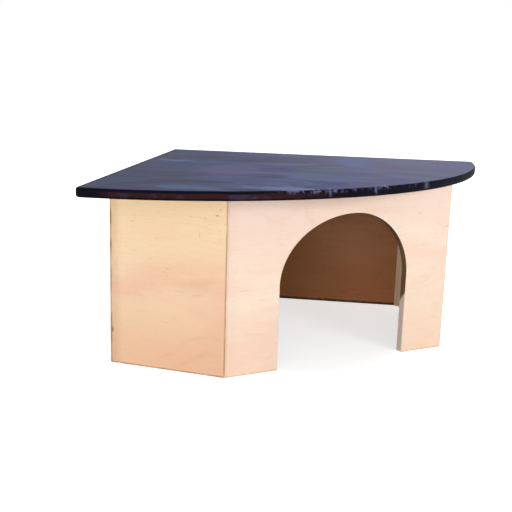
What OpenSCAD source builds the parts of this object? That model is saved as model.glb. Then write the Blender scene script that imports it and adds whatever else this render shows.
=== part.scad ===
// Wooden corner house for a hamster: five upright plywood panels under a painted quarter-round roof.
// The floor is z = 0, +Z is up, +Y points at the cage wall behind the back wall, and +X runs right
// along it. The origin is the middle of the roof's square footprint, on the floor.

/* [Panels] */
// Height of every upright panel, from the floor to the underside of the roof
wall_h = 100; // [80:1:140]
// Thickness of the plywood panels
ply_t = 5; // [3:0.5:8]
// Outer width of the left wall, which stands along the cage wall
left_wall_w = 162; // [140:1:190]
// Outer width of the plain panel at the left of the front
left_front_w = 68; // [50:1:85]
// Outer width of the panel with the doorway
door_panel_w = 145; // [125:1:165]

/* [Angles] */
// Turn of the plain front panel out of the line of the back wall, in degrees
left_front_turn = 10; // [4:1:20]
// Turn of the doorway panel towards the right, in degrees
door_panel_turn = 34; // [26:1:42]
// Lean of the right side panel in plan, in degrees
right_side_turn = 7; // [2:1:12]

/* [Doorway] */
// Width of board left standing at the left of the doorway
left_pier_w = 32; // [24:1:45]
// Width of board left standing at the right of the doorway
right_pier_w = 29; // [22:1:42]
// Height of the straight sides of the doorway
door_side_h = 48; // [30:1:55]
// Height of board left above the crown of the doorway
bridge_h = 13.5; // [8:0.5:20]
// Distance of the crown's highest point to the right of the doorway's middle
crown_shift = 5; // [0:0.5:10]

/* [Roof] */
// Thickness of the roof board
roof_t = 5; // [4:0.5:8]
// Overhang of the roof past the back wall and the left wall
back_overhang = 3; // [1:0.5:10]
// Overhang of the round rim past the outermost corner of the panels
rim_overhang = 1.1; // [0.5:0.1:10]
// Length of the short straight edge at each tip of the roof
tip_flat = 6; // [5:0.5:12]
// Rounding of the corner at each tip of the roof
tip_r = 4; // [1:0.5:5]

/* [Corner blocks and pins] */
// Width of each face of the corner blocks that is glued to a panel
block_w = 10; // [8:0.5:14]
// Diameter of the roof pins
pin_d = 1.4; // [1:0.1:1.8]
// Length of the roof pins over their heads
pin_l = 18; // [14:0.5:25]
// Diameter of the pin heads
pin_head_d = 2.2; // [1.9:0.1:2.6]
// Thickness of the pin heads
pin_head_t = 0.8; // [0.5:0.1:1.2]
// Depth of filler and paint over each sunk pin head
pin_cover = 0.6; // [0.4:0.1:1]

/* [Hidden] */
$fn = 96;
// Room around a pin in its hole, on each side
pin_clearance = 0.05;
// Room under the point of a pin
point_clearance = 0.5;
// Length by which a cutting shape runs past the face that it cuts
past = 2;
// Straight pieces in each half of the doorway's crown
crown_steps = 24;

// Corners of the house, in the order in which the panels run round it
BACK_LEFT = 0;
LEFT = 1;
FRONT = 2;
RIGHT = 3;
BACK_RIGHT = 4;
CORNERS = 5;

// Outer corners, measured from the roof's square back corner
corner_back_left = [back_overhang, -back_overhang];
corner_left = corner_back_left - [0, left_wall_w];
corner_front = corner_left + left_front_w * [cos(left_front_turn), -sin(left_front_turn)];
corner_right = corner_front + door_panel_w * [cos(door_panel_turn), sin(door_panel_turn)];
right_wall_depth = corner_back_left.y - corner_right.y;
corner_back_right = [corner_right.x - right_wall_depth * tan(right_side_turn), corner_back_left.y];

// The round rim is centred a tip's flat in from both straight edges
rim_centre = [tip_flat, -tip_flat];
rim_r = max(norm(corner_front - rim_centre), norm(corner_right - rim_centre)) + rim_overhang;
roof_w = rim_r + tip_flat;

// Everything moves by this much, so that the roof's footprint is centred on the origin
roof_corner = [-roof_w / 2, roof_w / 2];
outer = [for (corner = [corner_back_left, corner_left, corner_front, corner_right, corner_back_right])
    corner + roof_corner];
inner = [for (i = [0 : CORNERS - 1]) inner_corner(i)];

door_w = door_panel_w - left_pier_w - right_pier_w;
crown_rise = wall_h - bridge_h - door_side_h;
crown_x = left_pier_w + door_w / 2 + crown_shift;

pin_top = wall_h + roof_t - pin_cover;
pin_point = pin_top - pin_l;

// The corner after corner i, and the one before it
function after(i) = (i + 1) % CORNERS;
function before(i) = (i + CORNERS - 1) % CORNERS;

// Direction along the outer face from corner i to the next one
function along(i) = (outer[after(i)] - outer[i]) / norm(outer[after(i)] - outer[i]);

// Direction from that face into the house
function inward(i) = [-along(i).y, along(i).x];

// Corner i of the inner faces, on the mitre between the two panels that meet there
function inner_corner(i) =
    let (a = inward(before(i)), b = inward(i))
    outer[i] + (a + b) * ply_t / (1 + a * b);

// Three corners of the block glued into inner corner i
function block_outline(i) = [
    inner[i],
    inner[i] + block_w * along(i),
    inner[i] - block_w * along(before(i))];

// Place of the pin in block i: the centre of the largest circle that the block holds
function pin_place(i) =
    let (p = block_outline(i))
    let (a = norm(p[1] - p[2]), b = norm(p[2] - p[0]), c = norm(p[0] - p[1]))
    (a * p[0] + b * p[1] + c * p[2]) / (a + b + c);

// Point on the crown's left half (side = -1) or right half (side = 1), by its angle from the top
function crown_point(side, angle) = [
    crown_x + side * (door_w / 2 - side * crown_shift) * sin(angle),
    door_side_h + crown_rise * cos(angle)];

// Panel that runs from corner i to the next one, with both ends mitred
module panel(i) {
    color("burlywood")
        linear_extrude(wall_h)
            polygon([outer[i], outer[after(i)], inner[after(i)], inner[i]]);
}

// Doorway seen from the front, measured along the outer face from its left end
module doorway_outline() {
    step = 90 / crown_steps;
    crown = concat(
        [for (angle = [90 : -step : step]) crown_point(-1, angle)],
        [for (angle = [0 : step : 90]) crown_point(1, angle)]);
    polygon(concat(
        [[left_pier_w, -past]], crown, [[left_pier_w + door_w, -past]]));
}

// Shape of a pin, with an allowance all round and under its point
module pin(allowance = 0, point_room = 0) {
    translate([0, 0, pin_point - point_room])
        cylinder(d = pin_d + 2 * allowance, h = pin_l + point_room);
    translate([0, 0, pin_top - pin_head_t - allowance])
        cylinder(d = pin_head_d + 2 * allowance, h = pin_head_t + 2 * allowance);
}

// Holes that the pins fill, one at each corner block
module pin_holes() {
    for (i = [0 : CORNERS - 1])
        translate(pin_place(i)) pin(pin_clearance, point_clearance);
}

// Block glued into inner corner i, with its pin hole
module corner_block(i) {
    color("wheat")
        difference() {
            linear_extrude(wall_h) polygon(block_outline(i));
            pin_holes();
        }
}

// Waste cut from a tip's corner to round it, for a corner at the origin of the first quadrant
module tip_waste() {
    difference() {
        translate([-past, -past]) square(tip_r + past);
        translate([tip_r, tip_r]) circle(tip_r);
        translate([-past, tip_r]) square([tip_r + past, past]);
    }
}

// Roof seen from above: a quarter disc with a short straight edge at each tip
module roof_outline() {
    translate(roof_corner)
        difference() {
            union() {
                intersection() {
                    translate([0, -roof_w]) square(roof_w);
                    translate(rim_centre) circle(rim_r, $fn = 360);
                }
                translate([0, -roof_w]) square([tip_flat, roof_w]);
                translate([0, -tip_flat]) square([roof_w, tip_flat]);
            }
            translate([0, -roof_w]) tip_waste();
            translate([roof_w, 0]) rotate(180) tip_waste();
        }
}

module roof_board() {
    color("midnightblue")
        difference() {
            translate([0, 0, wall_h]) linear_extrude(roof_t) roof_outline();
            pin_holes();
        }
}

module back_wall() { panel(BACK_RIGHT); }
module left_wall() { panel(BACK_LEFT); }
module left_front_panel() { panel(LEFT); }
module right_side_panel() { panel(RIGHT); }

module doorway_panel() {
    difference() {
        panel(FRONT);
        color("burlywood")
            translate(outer[FRONT])
                rotate([90, 0, door_panel_turn])
                    translate([0, 0, -ply_t - past])
                        linear_extrude(ply_t + 2 * past) doorway_outline();
    }
}

module back_left_block() { corner_block(BACK_LEFT); }
module left_block() { corner_block(LEFT); }
module front_block() { corner_block(FRONT); }
module right_block() { corner_block(RIGHT); }
module back_right_block() { corner_block(BACK_RIGHT); }

module roof_pins() {
    color("silver")
        for (i = [0 : CORNERS - 1])
            translate(pin_place(i)) pin();
}

roof_board();
back_wall();
left_wall();
left_front_panel();
doorway_panel();
right_side_panel();
back_left_block();
left_block();
front_block();
right_block();
back_right_block();
roof_pins();
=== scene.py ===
"""Looks of a wooden corner house for a hamster.

Six boards make the house: five upright plywood panels and a quarter-round roof painted dark navy.
Triangular blocks stand in the inner corners. Each board is modelled here at the place that the
frame gives, dressed in bare veneer, cut plywood edge or paint, and shown on a white studio floor.
"""

from __future__ import annotations

import logging
import math
from dataclasses import dataclass
from enum import Enum
from typing import Any, Callable, Iterable, Optional, Sequence, Union

import bpy
from mathutils import Matrix, Vector

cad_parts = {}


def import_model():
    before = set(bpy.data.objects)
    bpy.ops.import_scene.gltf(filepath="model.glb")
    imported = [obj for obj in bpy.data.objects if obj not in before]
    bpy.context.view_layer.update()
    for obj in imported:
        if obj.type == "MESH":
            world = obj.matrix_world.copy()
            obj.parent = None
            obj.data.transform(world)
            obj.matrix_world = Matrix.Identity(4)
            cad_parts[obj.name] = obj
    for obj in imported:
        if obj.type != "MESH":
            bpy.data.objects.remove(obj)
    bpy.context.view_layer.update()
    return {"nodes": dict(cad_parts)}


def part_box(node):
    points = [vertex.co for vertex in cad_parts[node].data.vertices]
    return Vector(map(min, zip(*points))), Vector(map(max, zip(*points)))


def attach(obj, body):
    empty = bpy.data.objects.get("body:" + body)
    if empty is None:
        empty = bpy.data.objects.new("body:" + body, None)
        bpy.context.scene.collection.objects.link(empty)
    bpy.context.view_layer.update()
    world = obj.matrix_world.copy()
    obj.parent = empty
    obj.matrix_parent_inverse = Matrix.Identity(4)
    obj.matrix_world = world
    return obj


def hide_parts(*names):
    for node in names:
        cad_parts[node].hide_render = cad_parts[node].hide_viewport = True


LOG = logging.getLogger("hamster_house")

MM = 0.001
BODY = "root"
TINY = 1e-5
WHITE = (1.0, 1.0, 1.0)
EAST = Vector((1.0, 0.0, 0.0))
NORTH = Vector((0.0, 1.0, 0.0))
UP = Vector((0.0, 0.0, 1.0))

Colour = tuple[float, float, float]
Number = Union[float, "Value"]


def srgb(red: int, green: int, blue: int) -> Colour:
    """A colour from its red, green and blue on the screen, 0 to 255, as linear light.

    Args:
        red: Red on the screen.
        green: Green on the screen.
        blue: Blue on the screen.

    Returns:
        The same colour in linear light, 0 to 1.
    """
    def linear(channel: int) -> float:
        """One channel in linear light."""
        share = channel / 255
        return share / 12.92 if share <= 0.04045 else ((share + 0.055) / 1.055) ** 2.4

    return linear(red), linear(green), linear(blue)


# Shader maths


def arithmetic(operation: str, swapped: bool = False) -> Callable[["Value", Number], "Value"]:
    """An arithmetic method that adds a Math node.

    Args:
        operation: Blender's name of the operation.
        swapped: Whether the other term comes first.

    Returns:
        The method.
    """
    def method(self: "Value", other: Number) -> "Value":
        """The operation's result."""
        return self.graph.math(operation, *((other, self) if swapped else (self, other)))

    return method


class Value:
    """A number that varies over a surface: one output socket, with Python's arithmetic on it."""

    __add__ = arithmetic("ADD")
    __radd__ = arithmetic("ADD", swapped=True)
    __sub__ = arithmetic("SUBTRACT")
    __rsub__ = arithmetic("SUBTRACT", swapped=True)
    __mul__ = arithmetic("MULTIPLY")
    __rmul__ = arithmetic("MULTIPLY", swapped=True)
    __truediv__ = arithmetic("DIVIDE")
    larger = arithmetic("MAXIMUM")

    def __init__(self, graph: "Graph", socket: bpy.types.NodeSocket) -> None:
        """Wraps an output socket of a graph."""
        self.graph = graph
        self.socket = socket

    def __abs__(self) -> "Value":
        """Size without its sign."""
        return self.graph.math("ABSOLUTE", self)

    def fraction(self) -> "Value":
        """What is left past the whole number."""
        return self.graph.math("FRACT", self)

    def root(self) -> "Value":
        """Square root."""
        return self.graph.math("SQRT", self)

    def step(self, start: float, end: float) -> "Value":
        """A soft step from 0 at start to 1 at end, or from 1 to 0 where start is the larger.

        Args:
            start: Where the step starts.
            end: Where the step is full.

        Returns:
            The step, 0 to 1.
        """
        low, high = min(start, end), max(start, end)
        rising = self.graph.add(
            "ShaderNodeMapRange",
            {"interpolation_type": "SMOOTHSTEP"},
            {"Value": self, "From Min": low, "From Max": high},
        )
        value = Value(self.graph, rising.outputs["Result"])
        return value if start < end else 1.0 - value


class Graph:
    """A node tree, built from Python expressions."""

    def __init__(self, tree: bpy.types.NodeTree) -> None:
        """Works on a node tree."""
        self.tree = tree

    def add(
        self,
        kind: str,
        settings: Optional[dict[str, Any]] = None,
        inputs: Optional[dict[Union[str, int], Any]] = None,
    ) -> bpy.types.Node:
        """Adds a node, with its settings first and then the values or links of its sockets.

        Args:
            kind: Blender's name of the node's type.
            settings: Properties of the node by name.
            inputs: Values, Value objects or sockets by the input's name or number.

        Returns:
            The node.
        """
        node = self.tree.nodes.new(kind)
        for name, setting in (settings or {}).items():
            setattr(node, name, setting)
        self.feed(node, inputs or {})
        return node

    def feed(self, node: bpy.types.Node, inputs: dict[Union[str, int], Any]) -> None:
        """Links outputs to a node's sockets, or sets the sockets' own values.

        Args:
            node: The node.
            inputs: A Value, output socket, number, vector or colour by the input's name or number.
        """
        for key, what in inputs.items():
            socket = node.inputs[key]
            if isinstance(what, (Value, bpy.types.NodeSocket)):
                self.tree.links.new(what.socket if isinstance(what, Value) else what, socket)
            else:
                socket.default_value = (*what, 1.0) if socket.type == "RGBA" else what

    def math(self, operation: str, *terms: Number) -> Value:
        """Result of a Math node on these terms."""
        node = self.add("ShaderNodeMath", {"operation": operation}, dict(enumerate(terms)))
        return Value(self, node.outputs[0])

    def layers(self, under: Any, *coats: tuple[Number, Any]) -> bpy.types.NodeSocket:
        """Coats of colour laid over each other.

        Args:
            under: Colour or colour socket at the bottom.
            coats: Share, 0 to 1, and colour or colour socket of each coat, from the bottom up.

        Returns:
            The resulting colour's socket.
        """
        for share, colour in coats:
            blend = {"data_type": "RGBA", "clamp_factor": True}
            under = self.add("ShaderNodeMix", blend, {0: share, 6: under, 7: colour}).outputs[2]
        return under

    def noise(
        self,
        place: tuple[Number, Number, Number],
        detail: float = 2.0,
        roughness: float = 0.5,
        distortion: float = 0.0,
    ) -> Value:
        """Cloudy noise, 0 to 1.

        Args:
            place: Where to read the noise, in cells of the noise.
            detail: Number of finer layers.
            roughness: Strength of the finer layers.
            distortion: How far the cells are pulled about.

        Returns:
            The noise.
        """
        spot = self.add("ShaderNodeCombineXYZ", None, dict(enumerate(place)))
        inputs = {
            "Vector": spot.outputs[0],
            "Scale": 1.0,
            "Detail": detail,
            "Roughness": roughness,
            "Distortion": distortion,
        }
        node = self.add("ShaderNodeTexNoise", {"noise_dimensions": "3D"}, inputs)
        return Value(self, node.outputs["Fac"])


@dataclass(frozen=True)
class BoardPlace:
    """Where a board stands: the floor point at its outer left end, and its turn.

    Attributes:
        start: Outer left end of the board, on the floor.
        turn: Angle of the board's length from +X, in radians.
        length: Length along the outer face.
        thickness: Thickness of the board.
        height: Height of the board.
    """

    start: Vector = Vector((0.0, 0.0))
    turn: float = 0.0
    length: float = 1.0
    thickness: float = 1.0
    height: float = 1.0


class Surface(Graph):
    """One piece's material: a Principled surface, with coordinates from where the piece stands."""

    def __init__(self, name: str, place: BoardPlace) -> None:
        """Makes the material and its coordinates along the board, into it and up.

        Args:
            name: Name of the material.
            place: Where the piece stands.
        """
        self.material = bpy.data.materials.new(name)
        self.material.use_nodes = True
        super().__init__(self.material.node_tree)
        self.tree.nodes.clear()
        self.principled = self.add("ShaderNodeBsdfPrincipled")
        shader = {"Surface": self.principled.outputs["BSDF"]}
        self.output = self.add("ShaderNodeOutputMaterial", None, shader)
        self.place = place
        turned = Matrix.Rotation(-place.turn, 3, "Z") @ place.start.to_3d()
        inputs = {
            "Vector": self.add("ShaderNodeTexCoord").outputs["Object"],
            "Location": tuple(-turned),
            "Rotation": (0.0, 0.0, -place.turn),
        }
        mapping = self.add("ShaderNodeMapping", {"vector_type": "POINT"}, inputs)
        parts = self.add("ShaderNodeSeparateXYZ", None, {0: mapping.outputs[0]})
        self.along, self.depth, self.up = (Value(self, part) for part in parts.outputs)

    def finish(
        self,
        colour: Any,
        roughness: Number,
        relief: Optional[Value] = None,
        depth: float = 0.1 * MM,
        gloss: float = 0.5,
        metallic: float = 0.0,
    ) -> bpy.types.Material:
        """Feeds the surface and returns the material.

        Args:
            colour: Base colour.
            roughness: Roughness, 0 to 1.
            relief: Height of the surface, 0 to 1.
            depth: Real height of that relief.
            gloss: Strength of the reflection at the surface, where 0.5 is that of glass.
            metallic: 1 on bare metal.

        Returns:
            The material.
        """
        inputs = {
            "Base Color": colour,
            "Roughness": roughness,
            "Specular IOR Level": gloss,
            "Metallic": metallic,
        }
        if relief is not None:
            height = {"Height": relief, "Strength": 1.0, "Distance": depth}
            inputs["Normal"] = self.add("ShaderNodeBump", None, height).outputs[0]
        self.feed(self.principled, inputs)
        return self.material


# Finishes


@dataclass(frozen=True)
class Speck:
    """A dark mark in a veneer, in millimetres: a fleck, a small knot, and on the doorway panel one
    soft patch of painted shade.

    Attributes:
        along: Distance from the board's outer left end.
        up: Height above the floor.
        length: Length along the grain.
        width: Width across the grain.
        strength: How dark it is, 0 to 1.
    """

    along: float
    up: float
    length: float
    width: float
    strength: float


@dataclass(frozen=True)
class Palette:
    """Colours of one kind of veneer.

    Attributes:
        pale: Colour of the early wood.
        warm: Colour of the warmer patches.
        upper: Colour that the upper part tends to; on the peach sheet partly painted light against
            the roof's shade, on the inside sheet painted shade under the roof.
        lower: Colour that the lower part tends to.
        streak: Colour of the grain lines.
        knot: Colour of flecks and knots, and of the painted shade under the roof on the doorway
            panel.
        arris: Colour of the darker line along the upright corners and the foot; on the inside sheet
            the foot line is painted contact shade.
    """

    pale: Colour
    warm: Colour
    upper: Colour
    lower: Colour
    streak: Colour
    knot: Colour
    arris: Colour


class Sheet(Enum):
    """Kinds of veneer on the house's plywood, and a darker copy of it that paints the inner faces in
    shade.
    """

    PEACH = Palette(
        pale=srgb(246, 216, 181),
        warm=srgb(239, 195, 164),
        upper=srgb(255, 225, 178),
        lower=srgb(234, 188, 152),
        streak=srgb(206, 160, 116),
        knot=srgb(141, 98, 62),
        arris=srgb(152, 108, 70),
    )
    PINK = Palette(
        pale=srgb(252, 232, 212),
        warm=srgb(250, 216, 194),
        upper=srgb(250, 222, 206),
        lower=srgb(251, 219, 193),
        streak=srgb(220, 180, 148),
        knot=srgb(170, 122, 84),
        arris=srgb(196, 154, 112),
    )
    # A darker, browner copy of the plywood's veneer for the inner faces: painted shade of the
    # house's inside, much darker at the top where it is painted shade under the roof.
    INSIDE = Palette(
        pale=srgb(189, 130, 87),
        warm=srgb(184, 119, 73),
        upper=srgb(72, 48, 32),
        lower=srgb(192, 125, 75),
        streak=srgb(136, 84, 48),
        knot=srgb(96, 60, 34),
        arris=srgb(70, 44, 20),
    )


@dataclass(frozen=True)
class Veneer:
    """Bare sanded face veneer with its grain lying level.

    Attributes:
        name: Name of the material.
        sheet: Kind of veneer.
        seed: Shift that gives each board its own figure.
        specks: Flecks, knots and patches of painted shade at their places.
        end_lines: Strength of the tan line along the board's two upright corners.
        foot_darkening: Strength of the darker line along the foot, painted contact shade on the
            inner faces.
        foot_line: Height of that line.
    """

    name: str
    sheet: Sheet
    seed: float
    specks: tuple[Speck, ...] = ()
    end_lines: float = 1.0
    foot_darkening: float = 0.55
    foot_line: float = 1.2 * MM

    def build(self, place: BoardPlace) -> bpy.types.Material:
        """The veneer's material on a board.

        Args:
            place: Where the board stands.

        Returns:
            The material.
        """
        surface = Surface(self.name, place)
        along, depth, up, seed = surface.along, surface.depth, surface.up, self.seed
        patches = surface.noise((along * 16.0 + seed, depth * 40.0, up * 34.0), 3.0, 0.55, 0.7)
        bands = surface.noise((along * 7.0, depth * 30.0 + seed, up * 120.0), 3.0, 0.55, 0.5)
        fibre = surface.noise((along * 70.0, depth * 60.0, up * 1500.0 + seed), 3.0, 0.6)
        figure, pores = self._figure(surface), self._pores(surface)
        level = up / place.height + (patches - 0.5) * 0.5
        tones = self.sheet.value
        colour = surface.layers(
            tones.pale,
            (patches.step(0.34, 0.68), tones.warm),
            (bands.step(0.48, 0.78) * 0.4, tones.warm),
            # The upper tone is partly painted light and shade: on the peach sheet a paler, yellower
            # top that is partly the wood's own tone and partly painted light against the roof's
            # shade, and on the inside sheet a much darker top that is painted shade under the roof.
            (level.step(0.45, 1.0) * 0.8, tones.upper),
            (level.step(0.50, 0.0) * 0.7, tones.lower),
            (figure * 0.18, tones.streak),
            (fibre.step(0.45, 0.80) * 0.16, tones.streak),
            (pores * 0.34, tones.streak),
            (self._flecks_and_shade(surface), tones.knot),
            (self._border_lines(surface), tones.arris),
        )
        roughness = 0.56 + fibre * 0.14 - figure * 0.05
        relief = fibre * 0.6 + bands * 0.2 - pores * 0.5
        return surface.finish(colour, roughness, relief, 0.06 * MM, gloss=0.28)

    def _figure(self, surface: Surface) -> Value:
        """Wavy growth lines of a peeled veneer.

        Args:
            surface: The board's surface.

        Returns:
            Strength of the lines, 0 to 1.
        """
        along, up, seed = surface.along, surface.up, self.seed
        growth = surface.noise((along * 9.0 + seed * 3.0, seed, up * 30.0), 1.5, 0.45, 0.9)
        rings = abs((growth * 15.0).fraction() - 0.5) * 2.0
        fading = surface.noise((along * 30.0, seed * 2.0, up * 80.0 + seed), 2.0, 0.5)
        return rings.step(0.60, 1.0) * fading.step(0.46, 0.68)

    def _pores(self, surface: Surface) -> Value:
        """Short dark dashes along the grain.

        Args:
            surface: The board's surface.

        Returns:
            Strength of the dashes, 0 to 1.
        """
        along, depth, up, seed = surface.along, surface.depth, surface.up, self.seed
        dashes = surface.noise((along * 210.0 + seed, depth * 200.0, up * 950.0), 1.0, 0.4)
        clusters = surface.noise((along * 45.0, seed, up * 60.0 + seed), 2.0, 0.5)
        return dashes.step(0.62, 0.76) * clusters.step(0.42, 0.66)

    def _flecks_and_shade(self, surface: Surface) -> Number:
        """The board's own flecks and knots, and its patches of painted shade.

        Args:
            surface: The board's surface.

        Returns:
            Strength of the flecks, 0 to 1.
        """
        total: Number = 0.0
        for speck in self.specks:
            across = (surface.along - speck.along * MM) / (speck.length * MM / 2)
            over = (surface.up - speck.up * MM) / (speck.width * MM / 2)
            ragged = surface.noise((surface.along * 900.0, 0.0, surface.up * 1500.0), 1.0)
            distance = (across * across + over * over).root() + ragged * 0.9
            total = distance.step(1.6, 0.7) * speck.strength + total
        return total

    def _border_lines(self, surface: Surface) -> Value:
        """The tan line along the board's upright corners and the darker line along its foot; on the
        inner faces the foot line is painted contact shade.

        Args:
            surface: The board's surface.

        Returns:
            Strength of the line, 0 to 1.
        """
        along, up = surface.along, surface.up
        broken = surface.noise((along * 300.0, self.seed, up * 110.0), 2.0, 0.6)
        uneven = broken.step(0.30, 0.62) * 0.5 + 0.5
        left = along.step(1.9 * MM, 0.6 * MM).larger(along.step(8.0 * MM, 1.0 * MM) * 0.28)
        right = (along - surface.place.length).step(-1.1 * MM, -0.2 * MM) * 0.75
        # Darker along the foot; on the inner faces this is painted contact shade.
        foot = up.step(self.foot_line, self.foot_line / 3)
        ends = left.larger(right) * self.end_lines
        return ends.larger(foot * self.foot_darkening) * uneven


@dataclass(frozen=True)
class EdgeTones:
    """Colours of a cut plywood edge.

    Attributes:
        face_ply: Colour of the outer plies.
        core: Colour of the middle ply.
        glue: Colour of the glue lines and of burnished spots.
        fibre: Colour of the torn fibre.
    """

    face_ply: Colour
    core: Colour
    glue: Colour
    fibre: Colour


class EdgeCut(Enum):
    """Tones of the cut edges: as sawn, and a darker copy that paints the doorway's edge in shade."""

    SAWN = EdgeTones(
        face_ply=srgb(255, 239, 219),
        core=srgb(248, 224, 198),
        glue=srgb(150, 106, 68),
        fibre=srgb(176, 132, 88),
    )
    # A darker copy of the sawn tones: painted shade on the doorway's cut edge.
    IN_SHADE = EdgeTones(
        face_ply=srgb(132, 98, 64),
        core=srgb(110, 82, 52),
        glue=srgb(66, 46, 26),
        fibre=srgb(80, 56, 32),
    )


@dataclass(frozen=True)
class CutEdge:
    """Edge of plywood, with its plies as bands through the thickness.

    Attributes:
        name: Name of the material.
        cut: How the edge was cut.
        seed: Shift that gives each edge its own grain.
        lit_below: Height under which the doorway's shaded edge takes the sawn tones as painted
            light, or 0.
        shade_deepens_above: Height from which the shaded edge gets darker still, painted deeper
            shade, where lit_below is given.
        deepest_shade: Colour of the darkest painted shade.
        plies: Number of veneers.
    """

    name: str
    cut: EdgeCut
    seed: float
    lit_below: float = 0.0
    shade_deepens_above: float = 56 * MM
    deepest_shade: Colour = srgb(38, 24, 10)
    plies: int = 3

    def build(self, place: BoardPlace) -> bpy.types.Material:
        """The edge's material on a board.

        Args:
            place: Where the board stands.

        Returns:
            The material.
        """
        surface = Surface(self.name, place)
        along, depth, up, seed = surface.along, surface.depth, surface.up, self.seed
        wobble = surface.noise((along * 60.0, seed, up * 60.0), 2.0) - 0.5
        layer = (depth / place.thickness + wobble * 0.03) * float(self.plies)
        glue_line = (abs(layer.fraction() - 0.5) * 2.0).step(0.86, 0.99)
        core = (abs(layer - self.plies / 2) * 2.0).step(1.08, 0.92)
        fibre = surface.noise((along * 500.0, depth * 2500.0, up * 500.0 + seed), 3.0, 0.6)
        burnish = surface.noise((along * 90.0 + seed, 0.0, up * 90.0), 2.0)

        def toned(tones: EdgeTones) -> bpy.types.NodeSocket:
            """The edge's colour in one set of tones."""
            return surface.layers(
                tones.face_ply,
                (core * 0.55, tones.core),
                (fibre.step(0.42, 0.75) * 0.35, tones.fibre),
                (glue_line * 0.5, tones.glue),
                (burnish.step(0.55, 0.8) * 0.25, tones.glue),
            )

        colour = toned(self.cut.value)
        # On the doorway's edge: darker still above a height, painted deeper shade towards the crown,
        # and below the lit height, along a line that slants through the thickness like a shadow's
        # edge, the sawn tones as painted light.
        if self.lit_below:
            deeper_shade = (up + wobble * 9.0 * MM).step(self.shade_deepens_above, self.shade_deepens_above + 22 * MM)
            slanted = up + depth * 1.2 + wobble * 4.0 * MM
            pale_share = slanted.step(self.lit_below + 1.5 * MM, self.lit_below - 1.5 * MM)
            pale = toned(EdgeCut.SAWN.value)
            colour = surface.layers(colour, (deeper_shade * 0.85, self.deepest_shade), (pale_share, pale))
        return surface.finish(colour, 0.66 + fibre * 0.14, fibre, 0.08 * MM, gloss=0.25)


@dataclass(frozen=True)
class BlockWood:
    """Planed softwood of the corner blocks, with its grain upright.

    Attributes:
        name: Name of the material.
        seed: Shift that gives each block its own grain.
    """

    name: str
    seed: float

    def build(self, place: BoardPlace) -> bpy.types.Material:
        """The block's material.

        Args:
            place: Where the block stands.

        Returns:
            The material.
        """
        surface = Surface(self.name, place)
        along, depth, up, seed = surface.along, surface.depth, surface.up, self.seed
        rings = surface.noise((along * 260.0 + seed, depth * 260.0, up * 6.0), 2.0, 0.5, 0.4)
        fibre = surface.noise((along * 1500.0, depth * 1500.0, up * 60.0 + seed), 3.0, 0.6)
        colour = surface.layers(
            srgb(255, 233, 200),
            (rings.step(0.35, 0.7), srgb(249, 216, 176)),
            (fibre.step(0.45, 0.8) * 0.25, srgb(214, 172, 124)),
        )
        return surface.finish(colour, 0.6 + fibre * 0.12, fibre, 0.05 * MM, gloss=0.28)


@dataclass(frozen=True)
class BrushMark:
    """A patch of other colour on the paint, in millimetres: where the brush left it thicker or
    thinner, and along the front arris a painted highlight.

    Attributes:
        east: Its middle, right of the rim's centre.
        north: Its middle, behind the rim's centre.
        length: Half its length along the brush's stroke.
        width: Half its width.
        colour: Its colour.
        strength: How much of that colour shows, 0 to 1.
    """

    east: float
    north: float
    length: float
    width: float
    colour: Colour
    strength: float

    def coat(self, surface: Surface, rag: Value) -> tuple[Value, Colour]:
        """The mark as a coat on the paint.

        Args:
            surface: The roof's surface.
            rag: Noise that frays the mark's outline.

        Returns:
            The coat's share and colour.
        """
        along = (surface.along - self.east * MM) / (self.length * MM)
        across = (surface.depth - self.north * MM) / (self.width * MM)
        away = (along * along + across * across).root() + (rag - 0.5) * 1.9
        return away.step(1.25, 0.55) * self.strength, self.colour


INDIGO = srgb(18, 16, 58)
STEEL = srgb(74, 100, 148)
ARRIS_HIGHLIGHT = srgb(112, 122, 168)
LILAC = srgb(92, 80, 128)
VIOLET_BLUE = srgb(42, 34, 112)
OLIVE_GREY = srgb(70, 84, 100)
SKY_BLUE = srgb(88, 102, 162)

FRONT_MARKS = (
    BrushMark(44, -164, 22, 7, INDIGO, 0.85),
    BrushMark(72, -150, 14, 14, VIOLET_BLUE, 0.42),
    # This mark and the next run along the front arris: a painted highlight, not brushwork.
    BrushMark(46, -188, 20, 7, STEEL, 0.6),
    BrushMark(96, -176, 24, 7, ARRIS_HIGHLIGHT, 0.6),
    BrushMark(56, -104, 18, 30, LILAC, 0.45),
    BrushMark(114, -147, 12, 9, VIOLET_BLUE, 0.6),
    BrushMark(108, -94, 17, 30, OLIVE_GREY, 0.45),
    BrushMark(126, -30, 13, 25, SKY_BLUE, 0.48),
    BrushMark(148, -52, 10, 30, LILAC, 0.4),
    BrushMark(14, -68, 12, 6, STEEL, 0.7),
)


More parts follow.
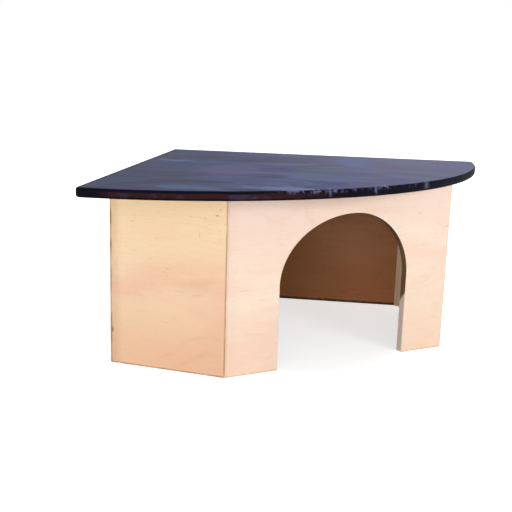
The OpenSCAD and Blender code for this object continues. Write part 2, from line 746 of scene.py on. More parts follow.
@dataclass(frozen=True)
class NavyPaint:
    """Brushed dark navy paint on the roof board.

    Attributes:
        name: Name of the material.
        rim_centre: Centre of the roof's round rim.
        rim_radius: Radius of the rim.
        underside: Height of the roof's underside.
        thickness: Thickness of the roof.
        deep: Colour where two coats lie over each other, at the left.
        navy: Colour of the paint in its body.
        slate: Colour where the brush left it thin and chalky.
        violet: Colour of the purplish patches.
        chalk_and_sheen: Colour of the right-hand end: worn, greyer paint, and partly a painted sheen
            standing in for the reflection there.
        ink: Colour where it pooled along the arris and on the rim.
        maroon: Colour of the thin coat along the middle of the rim.
        plum: Colour of the rubbed places in that band.
        scuff: Colour of the rubbed spots on the front arris.
        marks: Marks of the brush on the top, and a painted highlight along the front arris.
        knocks: Each knock on the rim: millimetres right of the rim's centre, width and strength.
    """

    name: str
    rim_centre: Vector
    rim_radius: float
    underside: float
    thickness: float
    deep: Colour = srgb(12, 14, 50)
    navy: Colour = srgb(24, 28, 76)
    slate: Colour = srgb(64, 82, 130)
    violet: Colour = srgb(46, 34, 108)
    chalk_and_sheen: Colour = srgb(110, 110, 138)
    ink: Colour = srgb(5, 6, 20)
    maroon: Colour = srgb(48, 22, 24)
    plum: Colour = srgb(60, 48, 72)
    scuff: Colour = srgb(150, 156, 200)
    marks: tuple[BrushMark, ...] = FRONT_MARKS
    knocks: tuple[tuple[float, float, float], ...] = (
        (116, 1.2, 0.35),
        (139, 1.2, 0.4),
        (167, 2.2, 0.3),
    )

    def build(self) -> bpy.types.Material:
        """The paint's material.

        Returns:
            The material.
        """
        surface = Surface(self.name, BoardPlace(self.rim_centre))
        east, north, up = surface.along, surface.depth, surface.up
        level = (up - self.underside) / self.thickness
        strokes = surface.noise((east * 22.0, north * 170.0, up * 60.0), 3.0, 0.55, 0.4)
        blotches = surface.noise((east * 17.0, north * 42.0, 3.7), 3.0, 0.55, 0.8)
        clouds = surface.noise((east * 11.0, north * 24.0, 9.1), 2.0, 0.5, 0.5)
        dust = surface.noise((east * 900.0, north * 900.0, up * 900.0), 2.0, 0.6)
        rag = surface.noise((east * 60.0, north * 110.0, 0.4), 3.0, 0.6, 0.6)
        # Towards the right the paint turns greyer: partly its worn colour, partly a painted sheen
        # standing in for the reflection at that end.
        chalk_and_sheen_share = (east + north * 0.35 + blotches * 50 * MM).step(40 * MM, 190 * MM)
        doubled = (east + (strokes + clouds - 1.0) * 90 * MM).step(95 * MM, 10 * MM)
        on_rim, tip = level.step(0.995, 0.95), self._tip(surface)
        chips = self._scuffs(surface, level)
        colour = surface.layers(
            self.navy,
            (blotches.step(0.42, 0.58), self.slate),
            (clouds.step(0.50, 0.62) * 0.85, self.violet),
            (strokes.step(0.52, 0.66) * 0.6, self.slate),
            (strokes.step(0.42, 0.30) * 0.7, self.deep),
            (dust.step(0.66, 0.82) * 0.25, self.scuff),
            (chalk_and_sheen_share * 0.6, self.chalk_and_sheen),
            (doubled * 0.62, self.deep),
            *(mark.coat(surface, rag) for mark in self.marks),
            (on_rim.larger(tip), self._rim(surface, level, 1.0 - tip, dust, strokes)),
            (chips, self.scuff),
        )
        roughness = 0.36 + strokes * 0.16 + blotches * 0.1 + on_rim * 0.2 + chips * 0.25
        relief = strokes * 0.7 + dust * 0.3 - chips * 0.6
        return surface.finish(colour, roughness, relief, 0.09 * MM, gloss=0.055)

    def _rim(
        self, surface: Surface, level: Value, bare: Value, dust: Value, strokes: Value
    ) -> bpy.types.NodeSocket:
        """Colour of the board's edge, from its upper arris down.

        Args:
            surface: The roof's surface.
            level: Height in the board, 0 at the underside and 1 at the top.
            bare: 0 where the paint pooled at the left, and else 1.
            dust: The fine grit.
            strokes: The brush strokes.

        Returns:
            The colour.
        """
        east, north = surface.along, surface.depth
        runs = surface.noise((east * 55.0, north * 55.0, level * 0.6), 3.0, 0.6, 0.5)
        ragged = level + (runs - 0.5) * 0.4
        thin_coat = ragged.step(0.78, 0.64) * ragged.step(0.16, 0.34)
        inky = (east + runs * 40 * MM).step(110 * MM, 150 * MM)
        return surface.layers(
            self.ink,
            (thin_coat * bare, self.maroon),
            (thin_coat * runs.step(0.50, 0.66) * bare * 0.7, self.plum),
            (inky * 0.95, self.ink),
            (dust.step(0.7, 0.85) * strokes * 0.4, self.slate),
        )

    def _near_rim(self, surface: Surface) -> Value:
        """1 on the rim and close behind it, and 0 further in."""
        reach = (surface.along * surface.along + surface.depth * surface.depth).root()
        return reach.step(self.rim_radius - 9 * MM, self.rim_radius - 2 * MM)

    def _tip(self, surface: Surface) -> Value:
        """1 at the left tip and along the left arris, where the paint pooled, and else 0."""
        left_side = (surface.along - surface.depth * 0.012).step(1.5 * MM, -3.0 * MM) * 0.85
        return (surface.along.step(16 * MM, 2 * MM) * self._near_rim(surface)).larger(left_side)

    def _scuffs(self, surface: Surface, level: Value) -> Value:
        """Rubbed spots along the front arris and a few chips on the rim.

        Args:
            surface: The roof's surface.
            level: Height in the board, 0 at the underside and 1 at the top.

        Returns:
            Strength of the spots, 0 to 1.
        """
        east, north = surface.along, surface.depth
        near_rim = self._near_rim(surface)
        front_right = east.step(84 * MM, 106 * MM) * east.step(172 * MM, 144 * MM)
        grit = surface.noise((east * 260.0, north * 340.0, level * 1.4), 3.0, 0.7)
        patches = surface.noise((east * 42.0, north * 42.0, 5.0), 2.0, 0.5)
        top_side = level.step(0.50, 0.95)
        pale_share = grit.step(0.46, 0.66) * patches.step(0.36, 0.54) * near_rim * top_side * 0.62
        total = pale_share * front_right
        lean = (level - 0.5) * 0.5 * MM + grit * 1.4 * MM
        broken = (grit.step(0.36, 0.56) * 0.6 + 0.4) * level.step(0.05, 0.5)
        for spot, width, strength in self.knocks:
            knock = abs(east - spot * MM + lean - 0.7 * MM).step(width * MM, 0.0)
            total = total.larger(knock * near_rim * broken * strength)
        return total


@dataclass(frozen=True)
class DrawnWire:
    """Bright wire of the roof pins.

    Attributes:
        name: Name of the material.
    """

    name: str = "pin_wire"

    def build(self) -> bpy.types.Material:
        """The wire's material.

        Returns:
            The material.
        """
        surface = Surface(self.name, BoardPlace())
        place = surface.along * 4000.0, surface.depth * 4000.0, surface.up * 90.0
        drawn = surface.noise(place, 2.0)
        grey = surface.layers(srgb(188, 188, 192), (drawn.step(0.4, 0.7), srgb(146, 146, 152)))
        return surface.finish(grey, 0.28 + drawn * 0.2, drawn, 0.01 * MM, metallic=1.0)


# Modelling


class Workshop:
    """Blender's modelling operators, as the boards use them.

    Attributes:
        BROAD: Area from which a face counts as broad, and is kept flat up to its arrises.
        RING: Width of the narrow ring of faces that keeps it flat.
        SHARP: Angle from which an edge is rounded.
        SMOOTH: Angle up to which the facets of a rounding are shaded as one.
        LEVEL: Upright part of a normal from which a face counts as level.
        SLACK: Distance within which a cut takes a vertex as lying on it.
    """

    BROAD = 40 * MM * MM
    RING = 0.15 * MM
    SHARP = math.radians(32)
    SMOOTH = math.radians(34)
    LEVEL = 0.9999
    SLACK = TINY / 10

    @staticmethod
    def edit(on: bool = True) -> None:
        """Enters edit mode, or leaves it."""
        bpy.ops.object.mode_set(mode="EDIT" if on else "OBJECT")

    @staticmethod
    def select_whole() -> None:
        """Selects all of the piece in edit mode."""
        bpy.ops.mesh.select_all(action="SELECT")

    @classmethod
    def clear_selection(cls) -> None:
        """Leaves edit mode and selects nothing."""
        if bpy.context.object is not None and bpy.context.object.mode != "OBJECT":
            cls.edit(False)
        bpy.ops.object.select_all(action="DESELECT")

    @classmethod
    def take(cls, piece: bpy.types.Object) -> None:
        """Selects one piece alone and makes it the active one.

        Args:
            piece: The piece.
        """
        cls.clear_selection()
        piece.select_set(True)
        bpy.context.view_layer.objects.active = piece

    @classmethod
    def block(cls, name: str, low: Vector, high: Vector) -> bpy.types.Object:
        """A rectangular block between two corners, left in edit mode with all selected.

        Args:
            name: Name of the piece.
            low: Lowest corner.
            high: Highest corner.

        Returns:
            The piece.
        """
        cls.clear_selection()
        bpy.ops.mesh.primitive_cube_add(size=1.0, location=(0.0, 0.0, 0.0))
        piece = bpy.context.object
        piece.name = name
        cls.edit()
        cls.select_whole()
        bpy.ops.transform.resize(value=tuple(high - low))
        bpy.ops.transform.translate(value=tuple((low + high) / 2))
        return piece

    @classmethod
    def saw(cls, point: Vector, waste_side: Vector) -> None:
        """Saws all of the piece in edit mode along a plane and closes the cut.

        Args:
            point: A point on the cut.
            waste_side: Direction from the cut towards the waste.
        """
        cls.select_whole()
        bpy.ops.mesh.bisect(
            plane_co=tuple(point),
            plane_no=tuple(waste_side),
            use_fill=True,
            clear_outer=True,
            threshold=cls.SLACK,
        )

    @classmethod
    def select(cls, kind: str, wanted: Callable[[Any], bool]) -> int:
        """Selects the vertices, edges or faces for which a test holds, in edit mode.

        Args:
            kind: VERT, EDGE or FACE.
            wanted: The test, given one of them from the mesh.

        Returns:
            The number selected.
        """
        bpy.ops.mesh.select_mode(type=kind)
        bpy.ops.mesh.select_all(action="DESELECT")
        cls.edit(False)
        mesh = bpy.context.object.data
        group = {"VERT": mesh.vertices, "EDGE": mesh.edges, "FACE": mesh.polygons}[kind]
        chosen = [element for element in group if wanted(element)]
        for element in chosen:
            element.select = True
        cls.edit()
        return len(chosen)

    @classmethod
    def apply(cls, piece: bpy.types.Object, kind: str, **settings: Any) -> None:
        """Adds a modifier to a piece and applies it.

        Args:
            piece: The piece.
            kind: Blender's name of the modifier's type.
            settings: Properties of the modifier by name.
        """
        cls.take(piece)
        modifier = piece.modifiers.new(kind.lower(), kind)
        for name, setting in settings.items():
            setattr(modifier, name, setting)
        bpy.ops.object.modifier_apply(modifier=modifier.name)

    @classmethod
    def soften(cls, piece: bpy.types.Object, width: float, steps: int = 3) -> None:
        """Rounds a piece's arrises and smooths what the rounding leaves.

        Args:
            piece: The piece.
            width: Width of the rounding.
            steps: Number of facets in the rounding.
        """
        cls.apply(
            piece,
            "BEVEL",
            width=width,
            segments=steps,
            limit_method="ANGLE",
            angle_limit=cls.SHARP,
            use_clamp_overlap=True,
        )
        cls.edit()
        cls.select("FACE", lambda face: face.area > cls.BROAD)
        bpy.ops.mesh.inset(thickness=cls.RING, depth=0.0, use_individual=True)
        cls.edit(False)
        bpy.ops.object.shade_smooth_by_angle(angle=cls.SMOOTH)

    @classmethod
    def divide(cls, piece: bpy.types.Object, pitch: float) -> None:
        """Divides a board's upper and lower face into squares, so that no long sliver is left.

        Args:
            piece: The board, lying level.
            pitch: Side of the squares.
        """
        cls.edit()
        for axis, across in enumerate((EAST, NORTH)):
            spots = [vertex.co[axis] for vertex in piece.data.vertices]
            low, high = min(spots), max(spots)
            count = round((high - low) / pitch)
            for number in range(1, count):
                cls.select("FACE", cls._is_level_field)
                point = across * (low + (high - low) * number / count)
                bpy.ops.mesh.bisect(
                    plane_co=tuple(point), plane_no=tuple(across), threshold=cls.SLACK
                )
        cls.edit(False)

    @classmethod
    def _is_level_field(cls, face: bpy.types.MeshPolygon) -> bool:
        """Whether a face lies level and is more than a piece of the narrow ring."""
        return abs(face.normal.z) > cls.LEVEL and face.area > cls.BROAD / 20

    @classmethod
    def settle(cls, piece: bpy.types.Object, place: BoardPlace = BoardPlace()) -> None:
        """Moves a piece from a board's own coordinates to its place, and applies that.

        Args:
            piece: The piece, modelled along +X with its outer face at y = 0.
            place: Where the board stands. The piece stays where it is without it.
        """
        cls.take(piece)
        turn = Matrix.Rotation(place.turn, 4, "Z")
        piece.matrix_world = Matrix.Translation(place.start.to_3d()) @ turn
        bpy.ops.object.transform_apply(location=True, rotation=True, scale=True)


def hand_over(piece: bpy.types.Object, node: str) -> None:
    """Puts a finished piece in its node's place in the frame and reports it.

    Args:
        piece: The finished piece.
        node: Node that it stands for.
    """
    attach(piece, BODY)
    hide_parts(node)
    LOG.info("%s: %d faces, stands for %s", piece.name, len(piece.data.polygons), node)


# The house


@dataclass
class Plan:
    """Floor plan of the panels, read from the frame.

    Attributes:
        outer: Outer corners, in the order in which the panels run round the house.
        thickness: Thickness of the plywood.
        height: Height of the panels.
        block_width: Width of a corner block's glued face.
    """

    outer: list[Vector]
    thickness: float
    height: float
    block_width: float

    @classmethod
    def from_frame(cls) -> "Plan":
        """The plan, from the boxes of the frame's nodes.

        Returns:
            The plan.
        """
        left_low, left_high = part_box("left_wall")
        front_low, front_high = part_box("left_front_panel")
        _, door_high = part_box("doorway_panel")
        side_low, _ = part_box("right_side_panel")
        back_low, back_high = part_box("back_wall")
        block_low, block_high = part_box("back_left_block")
        corners = (
            (left_low[0], left_high[1]),
            (left_low[0], left_low[1]),
            (front_high[0], front_low[1]),
            (door_high[0], side_low[1]),
            (back_high[0], back_high[1]),
        )
        outer = [Vector(corner) for corner in corners]
        return cls(outer, back_high[1] - back_low[1], back_high[2], block_high[0] - block_low[0])

    def at(self, corner: int) -> Vector:
        """Outer corner by its number, counted on round the house."""
        return self.outer[corner % len(self.outer)]

    def direction(self, corner: int) -> Vector:
        """Direction of the panel that starts at a corner."""
        return (self.at(corner + 1) - self.at(corner)).normalized()

    def inward(self, corner: int) -> Vector:
        """Direction into the house from the panel that starts at a corner."""
        ahead = self.direction(corner)
        return Vector((-ahead.y, ahead.x))

    def inner(self, corner: int) -> Vector:
        """Corner of the inner faces, on the mitre at a corner.

        Args:
            corner: Number of the outer corner.

        Returns:
            The inner corner.
        """
        first, second = self.inward(corner - 1), self.inward(corner)
        reach = self.thickness / (1 + first.dot(second))
        return self.at(corner) + (first + second) * reach

    def board(self, corner: int) -> BoardPlace:
        """Where the panel that starts at a corner stands.

        Args:
            corner: Number of the corner.

        Returns:
            The panel's place and size.
        """
        ahead = self.direction(corner)
        length = (self.at(corner + 1) - self.at(corner)).length
        turn = math.atan2(ahead.y, ahead.x)
        return BoardPlace(self.at(corner), turn, length, self.thickness, self.height)

    def mitre(self, corner: int, board: BoardPlace) -> Vector:
        """A mitre's way across a board, in the board's own coordinates."""
        across = self.inner(corner) - self.at(corner)
        return (Matrix.Rotation(-board.turn, 2) @ across).to_3d().normalized()


class Side(Enum):
    """Finishes on a panel's faces, by their number on the piece."""

    OUTSIDE = 0
    INSIDE = 1
    EDGE = 2
    DOORWAY = 3


@dataclass
class Panel:
    """A plain upright plywood panel with mitred ends.

    Attributes:
        name: Name of the piece.
        node: Node that it stands for.
        corner: Number of the plan's corner that it starts at.
        veneer: Finish of its faces.
        arris: Rounding of its arrises.
        face_on: Part of a face's normal across the board from which it has veneer.
    """

    name: str
    node: str
    corner: int
    veneer: Veneer
    arris: float = 0.4 * MM
    face_on: float = 0.55

    def build(self, plan: Plan) -> None:
        """Models the panel, dresses it and hands it over.

        Args:
            plan: The floor plan.
        """
        board = plan.board(self.corner)
        size = Vector((board.length, board.thickness, board.height))
        piece = Workshop.block(self.name, Vector(), size)
        left, right = plan.mitre(self.corner, board), plan.mitre(self.corner + 1, board)
        Workshop.saw(Vector(), Vector((-left.y, left.x, 0.0)))
        Workshop.saw(EAST * board.length, Vector((right.y, -right.x, 0.0)))
        Workshop.edit(False)
        self._shape(piece, board)
        Workshop.soften(piece, self.arris)
        self._dress(piece, board)
        Workshop.settle(piece, board)
        hand_over(piece, self.node)

    def _shape(self, piece: bpy.types.Object, board: BoardPlace) -> None:
        """Shapes the panel further. A plain panel needs nothing more."""

    def _dress(self, piece: bpy.types.Object, board: BoardPlace) -> None:
        """Puts veneer on the outer faces, a darker veneer of painted shade on the inner faces, and
        cut edge on the edges.

        Args:
            piece: The panel in its own coordinates.
            board: Where the panel stands.
        """
        seed, dark = self.veneer.seed, self.name + "_inside"
        finishes = (
            self.veneer,
            # The inner faces take the darker copy of the veneer: painted shade of the inside, with a
            # dark foot line that is painted contact shade.
            Veneer(dark, Sheet.INSIDE, seed + 40.0, foot_darkening=1.4, foot_line=2.6 * MM),
            CutEdge(self.name + "_edge", EdgeCut.SAWN, seed),
        )
        piece.data.materials.clear()
        for finish in finishes:
            piece.data.materials.append(finish.build(board))
        for face in piece.data.polygons:
            face.material_index = self._side_of(face).value

    def _side_of(self, face: bpy.types.MeshPolygon) -> Side:
        """The finish that a face takes, by the way that it looks.

        Args:
            face: A face of the panel in its own coordinates.

        Returns:
            The finish.
        """
        if abs(face.normal.y) < self.face_on:
            return Side.EDGE
        return Side.OUTSIDE if face.normal.y < 0 else Side.INSIDE


@dataclass
class DoorwayPanel(Panel):
    """The panel with the arched doorway.

    Attributes:
        left_pier: Width of board at the left of the doorway.
        right_pier: Width of board at the right of the doorway.
        side_height: Height of the doorway's straight sides.
        bridge: Height of board above the crown.
        crown_shift: Distance of the crown's top to the right of the doorway's middle.
        crown_points: Number of straight pieces in a full turn of the crown.
        lit_below: Height under which the doorway's edge takes the sawn tones as painted light.
    """

    left_pier: float = 32 * MM
    right_pier: float = 29 * MM
    side_height: float = 48 * MM
    bridge: float = 13.5 * MM
    crown_shift: float = 5 * MM
    crown_points: int = 160
    lit_below: float = 37 * MM

    def _shape(self, piece: bpy.types.Object, board: BoardPlace) -> None:
        """Saws the doorway out of the panel.

        Args:
            piece: The panel in its own coordinates.
            board: Where the panel stands.
        """
        waste = self._waste(board)
        Workshop.apply(piece, "BOOLEAN", object=waste, operation="DIFFERENCE", solver="EXACT")
        bpy.data.objects.remove(waste)

    def _waste(self, board: BoardPlace) -> bpy.types.Object:
        """The piece of wood that the doorway's saw cut frees.

        Args:
            board: Where the panel stands.

        Returns:
            The waste, standing in the doorway and past both faces and the foot.
        """
        past = board.thickness
        half = (board.length - self.left_pier - self.right_pier) / 2
        rise = board.height - self.bridge - self.side_height
        top_at = self.left_pier + half + self.crown_shift
        Workshop.clear_selection()
        bpy.ops.mesh.primitive_circle_add(
            vertices=self.crown_points,
            radius=1.0,
            fill_type="NGON",
            rotation=(math.pi / 2, 0.0, 0.0),
        )
        waste = bpy.context.object
        bpy.ops.object.transform_apply(location=True, rotation=True, scale=True)
        Workshop.edit()
        Workshop.saw(Vector(), -UP)
        for side, reach in ((-1, half + self.crown_shift), (1, half - self.crown_shift)):
            Workshop.select("VERT", lambda vertex: side * vertex.co.x > TINY)
            bpy.ops.transform.resize(value=(reach, 1.0, 1.0), center_override=(0.0, 0.0, 0.0))
        Workshop.select_whole()
        bpy.ops.transform.resize(value=(1.0, 1.0, rise), center_override=(0.0, 0.0, 0.0))
        bpy.ops.transform.translate(value=(top_at, -past, self.side_height))
        Workshop.select("EDGE", lambda edge: self._is_springing(waste, edge))
        self._pull((0.0, 0.0, -self.side_height - past))
        Workshop.select_whole()
        self._pull((0.0, board.thickness + 2 * past, 0.0))
        Workshop.select_whole()
        bpy.ops.mesh.normals_make_consistent(inside=False)
        Workshop.edit(False)
        return waste

    @staticmethod
    def _pull(way: tuple[float, float, float]) -> None:
        """Extrudes what is selected."""
        bpy.ops.mesh.extrude_region_move(TRANSFORM_OT_translate={"value": way})

    def _dress(self, piece: bpy.types.Object, board: BoardPlace) -> None:
        """Puts veneer on the faces, and round the doorway an edge in painted shade, lit at its foot
        with painted light.

        Args:
            piece: The panel in its own coordinates.
            board: Where the panel stands.
        """
        super()._dress(piece, board)
        # The doorway's edge in painted shade, with painted light below the lit height.
        shaded_edge = CutEdge("doorway_edge", EdgeCut.IN_SHADE, 4.2, self.lit_below)
        piece.data.materials.append(shaded_edge.build(board))
        for face in piece.data.polygons:
            if self._side_of(face) is Side.EDGE and self._is_in_doorway(face, board):
                face.material_index = Side.DOORWAY.value

    def _is_in_doorway(self, face: bpy.types.MeshPolygon, board: BoardPlace) -> bool:
        """Whether a face of the edges belongs to the doorway."""
        low, high = self.left_pier - MM, board.length - self.right_pier + MM
        return low < face.center.x < high and MM < face.center.z < board.height - self.bridge + MM

    def _is_springing(self, waste: bpy.types.Object, edge: bpy.types.MeshEdge) -> bool:
        """Whether an edge lies along the crown's springing line."""
        ends = [waste.data.vertices[number].co for number in edge.vertices]
        return all(abs(end.z - self.side_height) < TINY for end in ends)


@dataclass
class CornerBlock:
    """A triangular block glued into an inner corner.

    Attributes:
        name: Name of the piece.
        node: Node that it stands for.
        corner: Number of the plan's corner that it stands in.
        arris: Rounding of its arrises.
    """

    name: str
    node: str
    corner: int
    arris: float = 0.3 * MM

    def build(self, plan: Plan) -> None:
        """Models the block, dresses it and hands it over.

        Args:
            plan: The floor plan.
        """
        heel = plan.inner(self.corner)
        toe = heel + plan.block_width * plan.direction(self.corner)
        tail = heel + plan.block_width * -plan.direction(self.corner - 1)
        reach = Vector((plan.block_width, plan.block_width, 0.0)) * 2
        low, high = heel.to_3d() - reach, heel.to_3d() + reach + UP * plan.height
        piece = Workshop.block(self.name, low, high)
        for face in (self.corner, self.corner - 1):
            Workshop.saw(heel.to_3d(), -plan.inward(face).to_3d())
        away = Vector(((toe - tail).y, -(toe - tail).x))
        if away.dot(heel - toe) > 0:
            away = -away
        Workshop.saw(toe.to_3d(), away.to_3d())
        Workshop.edit(False)
        Workshop.soften(piece, self.arris, steps=2)
        wood = BlockWood(self.name + "_wood", 2.3 * self.corner)
        piece.data.materials.append(wood.build(BoardPlace(heel)))
        Workshop.settle(piece)
        hand_over(piece, self.node)


@dataclass
class Roof:
    """The quarter-round roof board.

    Attributes:
        tip_flat: Length of the straight edge at each tip, which sets the rim's centre.
        tip_radius: Rounding of the corner at each tip.
        back_radius: Rounding of the square back corner.
        corner_steps: Number of facets in each of these roundings.
        arris: Rounding of the upper and lower arrises.
        rim_points: Number of straight pieces in a full turn of the rim.
        field: Side of the squares that its flat faces are divided into.
        weld: Distance within which doubled points are made one.
        near: Distance within which an edge counts as standing at a corner.
    """

    tip_flat: float = 6 * MM
    tip_radius: float = 4 * MM
    back_radius: float = 1.6 * MM
    corner_steps: int = 8
    arris: float = 1.3 * MM
    rim_points: int = 400
    field: float = 20 * MM
    weld: float = 0.02 * MM
    near: float = 0.3 * MM

    def build(self) -> None:
        """Models the roof, paints it and hands it over."""
        low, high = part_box("roof_board")
        corner = Vector((low[0], high[1]))
        centre = corner + Vector((self.tip_flat, -self.tip_flat))
        radius = high[0] - centre.x
        thickness = high[2] - low[2]
        Workshop.clear_selection()
        bpy.ops.mesh.primitive_cylinder_add(
            vertices=self.rim_points,
            radius=radius,
            depth=thickness,
            end_fill_type="NGON",
            location=(centre.x, centre.y, (low[2] + high[2]) / 2),
        )
        piece = bpy.context.object
        piece.name = "painted_roof"
        bpy.ops.object.transform_apply(location=True, rotation=True, scale=True)
        Workshop.edit()
        for waste_side in (-EAST, NORTH):
            Workshop.saw(corner.to_3d(), waste_side)
        self._round(piece, Vector((low[0], low[1])), self.tip_radius)
        self._round(piece, Vector((high[0], high[1])), self.tip_radius)
        self._round(piece, corner, self.back_radius)
        Workshop.select_whole()
        bpy.ops.mesh.remove_doubles(threshold=self.weld)
        Workshop.edit(False)
        Workshop.soften(piece, self.arris, steps=4)
        Workshop.divide(piece, self.field)
        paint = NavyPaint("navy_paint", centre, radius, low[2], thickness)
        piece.data.materials.append(paint.build())
        Workshop.settle(piece)
        hand_over(piece, "roof_board")

    def _round(self, piece: bpy.types.Object, corner: Vector, radius: float) -> None:
        """Rounds one of the roof's corners in plan.

        Args:
            piece: The roof in edit mode.
            corner: The corner.
            radius: Radius of the rounding.
        """
        def is_upright_there(edge: bpy.types.MeshEdge) -> bool:
            """Whether an edge stands upright at the corner.

            Args:
                edge: An edge of the roof.

            Returns:
                Whether it does.
            """
            ends = [piece.data.vertices[number].co for number in edge.vertices]
            upright = abs(ends[0].z - ends[1].z) > MM
            return upright and all((end.to_2d() - corner).length < self.near for end in ends)

        if Workshop.select("EDGE", is_upright_there):
            bpy.ops.mesh.bevel(offset=radius, segments=self.corner_steps, affect="EDGES")


class House:
    """All the boards of the house, with their finishes."""

    FLECKS = (
        Speck(64.1, 91.8, 1.5, 0.9, 0.45),
        Speck(62.3, 88.3, 1.8, 1.1, 0.6),
        Speck(55.7, 86.5, 1.6, 0.8, 0.3),
        Speck(52.4, 77.3, 1.0, 4.5, 0.22),
        Speck(63.3, 80.5, 2.4, 0.7, 0.3),
        Speck(63.9, 75.7, 3.0, 0.6, 0.25),
        Speck(51.0, 44.3, 9.0, 0.9, 0.14),
        Speck(41.0, 45.6, 7.0, 0.8, 0.12),
        Speck(1.2, 19.5, 2.2, 4.0, 0.9),
    )
    STROKES_AND_SHADE = (
        Speck(9.8, 47.8, 8.0, 0.8, 0.16),
        Speck(21.3, 41.7, 6.0, 0.8, 0.14),
        Speck(143.3, 75.5, 3.0, 0.8, 0.4),
        Speck(122.7, 84.3, 1.6, 1.0, 0.3),
        Speck(129.0, 13.0, 10.0, 0.8, 0.16),
        # A broad soft patch over the doorway's crown, right under the roof: painted shade of the
        # roof's overhang.
        Speck(64.0, 95.0, 96.0, 15.0, 0.15),
    )

    def panels(self) -> Iterable[Panel]:
        """The five panels, in the order in which they run round the house.

        Returns:
            The panels.
        """
        left_front = Veneer("left_front_veneer", Sheet.PEACH, 7.4, self.FLECKS, foot_darkening=0.9)
        doorway = Veneer("doorway_veneer", Sheet.PINK, 12.9, self.STROKES_AND_SHADE, end_lines=0.3)
        yield Panel("left_panel", "left_wall", 0, Veneer("left_veneer", Sheet.PEACH, 3.1))
        yield Panel("left_front", "left_front_panel", 1, left_front)
        yield DoorwayPanel("doorway_front", "doorway_panel", 2, doorway)
        yield Panel("right_side", "right_side_panel", 3, Veneer("right_veneer", Sheet.PINK, 17.2))
        yield Panel("back_panel", "back_wall", 4, Veneer("back_veneer", Sheet.PEACH, 21.7))

    def build(self, nodes: dict[str, bpy.types.Object]) -> None:
        """Builds all the pieces and dresses the node that stays.

        Args:
            nodes: The frame's nodes by name.
        """
        plan = Plan.from_frame()
        Roof().build()
        for panel in self.panels():
            panel.build(plan)
        for corner, place in enumerate(("back_left", "left", "front", "right", "back_right")):
            CornerBlock(f"glued_{place}_block", place + "_block", corner).build(plan)
        pins = nodes["roof_pins"]
        pins.data.materials.clear()
        pins.data.materials.append(DrawnWire().build())
        LOG.info("roof_pins: kept, in drawn wire")


# The studio


def stand(name: str, data: Union[bpy.types.Light, bpy.types.Camera]) -> bpy.types.Object:
    """Puts a lamp or a camera in the scene.

    Args:
        name: Name of the object.
        data: The lamp or camera.

    Returns:
        The object that holds it.
    """
    holder = bpy.data.objects.new(name, data)
    bpy.context.scene.collection.objects.link(holder)
    return holder


@dataclass(frozen=True)
class SoftLight:
    """A rectangular soft light that faces the house.

    Attributes:
        name: Name of the light.
        place: Where it hangs.
        width: Its width.
        height: Its height.
        power: Its power in watts.
        tint: Its colour.
    """

    name: str
    place: Vector
    width: float
    height: float
    power: float
    tint: Colour = WHITE

    def hang(self, target: Vector) -> None:
        """Hangs the light and aims it.

        Args:
            target: Point that it faces.
        """
        lamp = bpy.data.lights.new(self.name, "AREA")
        lamp.shape = "RECTANGLE"
        lamp.size = self.width
        lamp.size_y = self.height
        lamp.energy = self.power
        lamp.color = self.tint
        holder = stand(self.name, lamp)
        holder.location = self.place
        holder.rotation_euler = (target - self.place).to_track_quat("-Z", "Y").to_euler()


@dataclass(frozen=True)
class Viewpoint:
    """The photograph's camera.

    Attributes:
        place: Where it stands.
        heading: Its turn to the left of +Y, in radians.
        pitch: Its tilt above level, in radians.
        roll: Its roll, in radians.
        lens: Focal length in millimetres.
        sensor: Sensor width in millimetres.
        near: Nearest distance that it sees.
        far: Farthest distance that it sees.
    """

    place: Vector = Vector((33.4 * MM, -489.8 * MM, 162.7 * MM))
    heading: float = 0.1287
    pitch: float = -0.2194
    roll: float = 0.03
    lens: float = 58.63
    sensor: float = 36.0
    near: float = 0.01
    far: float = 50.0

    def set_up(self) -> None:
        """Sets up the camera and makes it the scene's own."""
        data = bpy.data.cameras.new("camera")
        data.lens = self.lens
        data.sensor_width = self.sensor
        data.clip_start, data.clip_end = self.near, self.far
        camera = stand("camera", data)
        camera.matrix_world = (
            Matrix.Translation(self.place)
            @ Matrix.Rotation(self.heading, 4, "Z")
            @ Matrix.Rotation(math.pi / 2 + self.pitch, 4, "X")
            @ Matrix.Rotation(self.roll, 4, "Z")
        )
        bpy.context.scene.camera = camera


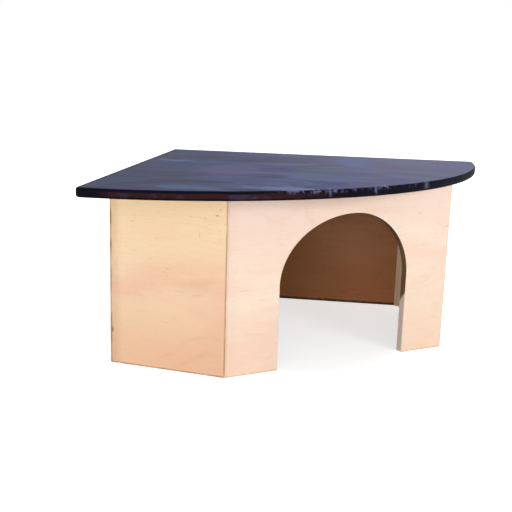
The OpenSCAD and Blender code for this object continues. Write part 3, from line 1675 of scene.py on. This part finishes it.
class Studio:
    """White floor, soft lights and the camera.

    Attributes:
        FLOOR_SIDE: Side of the floor.
        FLOOR_WHITE: Share of the light that the floor sends back.
        SKY_STRENGTH: Strength of the sky's light.
        LIFT_NEAR: Glow that the floor is seen with under the house.
        LIFT_FAR: The same, away from the house.
        NEAR: Distance from the middle where the glow starts to grow.
        FAR: Distance where it is full.
        LIGHTS: The soft lights.
        MIDDLE: Point that they face.
    """

    FLOOR_SIDE = 12.0
    FLOOR_WHITE = 0.92
    SKY_STRENGTH = 0.34
    LIFT_NEAR = 0.68
    LIFT_FAR = 1.0
    NEAR = 0.22
    FAR = 0.70
    LIGHTS = (
        SoftLight("key", Vector((1.00, -0.84, 0.42)), 0.5, 0.3, 5.15, (1.0, 0.985, 0.97)),
        SoftLight("fill", Vector((-0.12, -1.35, 0.15)), 1.1, 0.25, 6.85, (0.99, 0.99, 1.0)),
        SoftLight("left", Vector((-1.15, -0.45, 0.22)), 0.5, 0.3, 1.9, (1.0, 0.98, 0.97)),
        SoftLight("top", Vector((0.15, 0.50, 1.30)), 0.9, 0.9, 6.0),
    )
    MIDDLE = UP * 50 * MM

    def build(self) -> None:
        """Sets up the whole studio."""
        bpy.context.scene.view_settings.view_transform = "Standard"
        self._floor()
        self._sky()
        for light in self.LIGHTS:
            light.hang(self.MIDDLE)
        Viewpoint().set_up()
        LOG.info("studio: floor, sky, %d soft lights and the camera", len(self.LIGHTS))

    @staticmethod
    def _is_seen(graph: Graph) -> Value:
        """1 where the floor or sky is looked at, straight or in a reflection, and else 0.

        Args:
            graph: The floor's or the sky's graph.

        Returns:
            The share of the backdrop's own white that shows.
        """
        path = graph.add("ShaderNodeLightPath")
        seen = Value(graph, path.outputs["Is Camera Ray"])
        for ray in ("Is Glossy Ray", "Is Transmission Ray"):
            seen = seen.larger(Value(graph, path.outputs[ray]))
        return seen

    def _floor(self) -> None:
        """A white floor that keeps the house's shadow."""
        Workshop.clear_selection()
        bpy.ops.mesh.primitive_plane_add(size=self.FLOOR_SIDE, location=(0.0, 0.0, 0.0))
        floor = bpy.context.object
        floor.name = "studio_floor"
        white = Surface("studio_white", BoardPlace())
        away = (white.along * white.along + white.depth * white.depth).root()
        lift = away.step(self.NEAR, self.FAR) * (self.LIFT_FAR - self.LIFT_NEAR) + self.LIFT_NEAR
        light = {"Color": WHITE, "Strength": self._is_seen(white) * lift}
        glow = white.add("ShaderNodeEmission", None, light)
        shaders = {0: white.principled.outputs[0], 1: glow.outputs[0]}
        both = white.add("ShaderNodeAddShader", None, shaders)
        white.feed(white.output, {"Surface": both.outputs[0]})
        floor.data.materials.append(white.finish((self.FLOOR_WHITE,) * 3, 0.9, gloss=0.0))

    def _sky(self) -> None:
        """A pale even sky that is white where it is looked at."""
        world = bpy.data.worlds.new("studio_sky")
        bpy.context.scene.world = world
        world.use_nodes = True
        sky = Graph(world.node_tree)
        level = self._is_seen(sky) * (1.0 - self.SKY_STRENGTH) + self.SKY_STRENGTH
        sky.feed(world.node_tree.nodes["Background"], {"Color": WHITE, "Strength": level})


def main() -> None:
    """Builds the dressed house in the frame, and the studio round it."""
    logging.basicConfig(level=logging.INFO, format="%(message)s")
    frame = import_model()
    House().build(frame["nodes"])
    Studio().build()
    bpy.context.view_layer.update()


if __name__ == "__main__":
    main()
